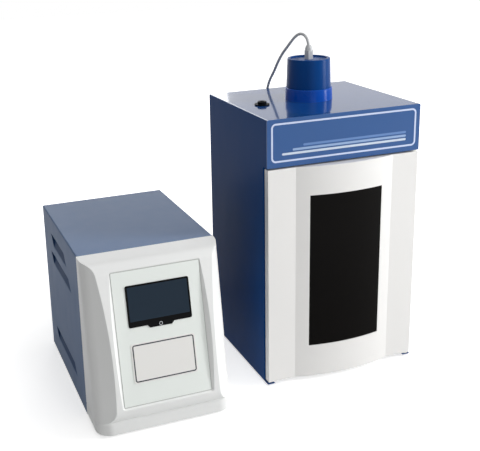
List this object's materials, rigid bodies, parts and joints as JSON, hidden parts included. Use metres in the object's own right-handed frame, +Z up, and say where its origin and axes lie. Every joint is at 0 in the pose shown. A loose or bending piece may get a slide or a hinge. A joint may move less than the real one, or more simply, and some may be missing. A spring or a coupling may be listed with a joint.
{
  "type": "probe sonicator",
  "caption": "Probe sonicator: a generator with a sunk touch panel, cabled to a converter and horn that lift out of a sound-damped chamber with a windowed door.",
  "frame": {"origin": "on the floor, under the middle of the two units' joint footprint, leaving out the cable and its plug", "axes": "+Z up, -Y the front of both units, +X towards the chamber"},
  "size_m": [0.628, 0.5863, 0.6153],
  "materials": {
    "casing_paint": "smooth semi-gloss navy grey paint",
    "header_paint": "smooth semi-gloss blue paint with a pale outline",
    "door_paint": "smooth semi-gloss off-white paint",
    "generator_paint": "smooth satin blue-grey paint",
    "plated_steel": "zinc-plated sheet",
    "white_moulding": "satin white moulding",
    "overlay_film": "fine-textured film",
    "screen_glass": "glossy black glass",
    "label_film": "satin plate with a dark outline",
    "cap_blue": "glossy royal blue",
    "collar_blue": "glossy bright blue",
    "stainless": "turned stainless steel",
    "titanium": "turned titanium alloy",
    "aluminium": "machined aluminium",
    "ceramic": "fired piezoelectric ceramic",
    "electrode_brass": "thin brass sheet",
    "black_rubber": "black rubber",
    "grommet_plastic": "satin grey-blue",
    "foam": "open-cell acoustic foam",
    "gland_plastic": "light grey nylon",
    "cable_jacket": "light grey jacket",
    "acetal": "natural acetal",
    "window_glass": "dark smoked acrylic",
    "board_laminate": "green solder mask",
    "transformer_iron": "varnished laminations and windings",
    "black_plastic": "moulded black plastic"
  },
  "bodies": {
    "base": {"chamber_shell": "casing_paint", "header_panel": "header_paint", "chamber_base": "casing_paint", "chamber_back": "casing_paint", "chamber_screws": "stainless", "chamber_feet": "black_rubber", "foam_sides": "foam", "foam_back": "foam", "foam_top": "foam", "floor_mat": "black_rubber", "probe_grommet": "grommet_plastic", "converter_collar": "collar_blue", "collar_nut": "collar_blue", "hinge_pins": "stainless", "stand_base": "stainless", "stand_post": "stainless", "generator_case": "generator_paint", "generator_chassis": "plated_steel", "rear_panel": "generator_paint", "front_bezel": "white_moulding", "front_overlay": "overlay_film", "touch_screen": "screen_glass", "blank_plate": "label_film", "main_board": "board_laminate", "mains_transformer": "transformer_iron", "heatsink": "aluminium", "fan_frame": "black_plastic", "fan_guard": "stainless", "mains_inlet": "black_plastic", "switch_body": "black_plastic", "output_socket": "black_plastic", "sensor_socket": "black_plastic", "generator_feet": "black_rubber", "generator_screws": "stainless", "cable_plug": "black_plastic", "converter_cable": "cable_jacket"},
    "door": {"door_skin": "door_paint", "door_liner": "door_paint", "door_window": "window_glass", "window_reveal": "white_moulding", "door_seal": "black_rubber", "door_magnets": "stainless", "door_bushes": "acetal"},
    "converter": {"converter_cap": "cap_blue", "gland_body": "gland_plastic", "gland_nut": "gland_plastic", "converter_sleeve": "stainless", "back_mass": "stainless", "piezo_rings": "ceramic", "electrodes": "electrode_brass", "front_mass": "aluminium", "prestress_bolt": "stainless", "horn": "titanium", "probe_tip": "titanium"},
    "platform": {"platform_arm": "aluminium", "sample_platform": "aluminium"},
    "knob": {"clamp_knob": "black_plastic"},
    "fan": {"fan_rotor": "black_plastic"},
    "rocker": {"power_rocker": "black_plastic"},
    "fuse": {"fuse_drawer": "black_plastic"}
  },
  "joints": [
    {"name": "door_hinge", "type": "hinge", "parent": "base", "child": "door", "pos_m": [0.3065, -0.1318, 0.2], "axis": [0, 0, 1], "range_deg": [0, 110]},
    {"name": "converter_lift", "type": "slide", "parent": "base", "child": "converter", "axis": [0, 0, 1], "range_m": [0, 0.185], "deforming": ["converter_cable"]},
    {"name": "platform_slide", "type": "slide", "parent": "base", "child": "platform", "axis": [0, 0, 1], "range_m": [0, 0.12]},
    {"name": "clamp_knob_turn", "type": "hinge", "parent": "platform", "child": "knob", "pos_m": [0.184, 0.0632, 0.0865], "axis": [1, 0, 0], "range_deg": [0, 270]},
    {"name": "fan_spin", "type": "hinge", "parent": "base", "child": "fan", "pos_m": [-0.14575, 0.1802, 0.204], "axis": [0, 1, 0], "continuous": true},
    {"name": "power_rocker_tilt", "type": "hinge", "parent": "base", "child": "rocker", "pos_m": [-0.21575, 0.1907, 0.064], "axis": [1, 0, 0], "range_deg": [0, 18]},
    {"name": "fuse_drawer_slide", "type": "slide", "parent": "base", "child": "fuse", "axis": [0, 1, 0], "range_m": [0, 0.018]}
  ]
}
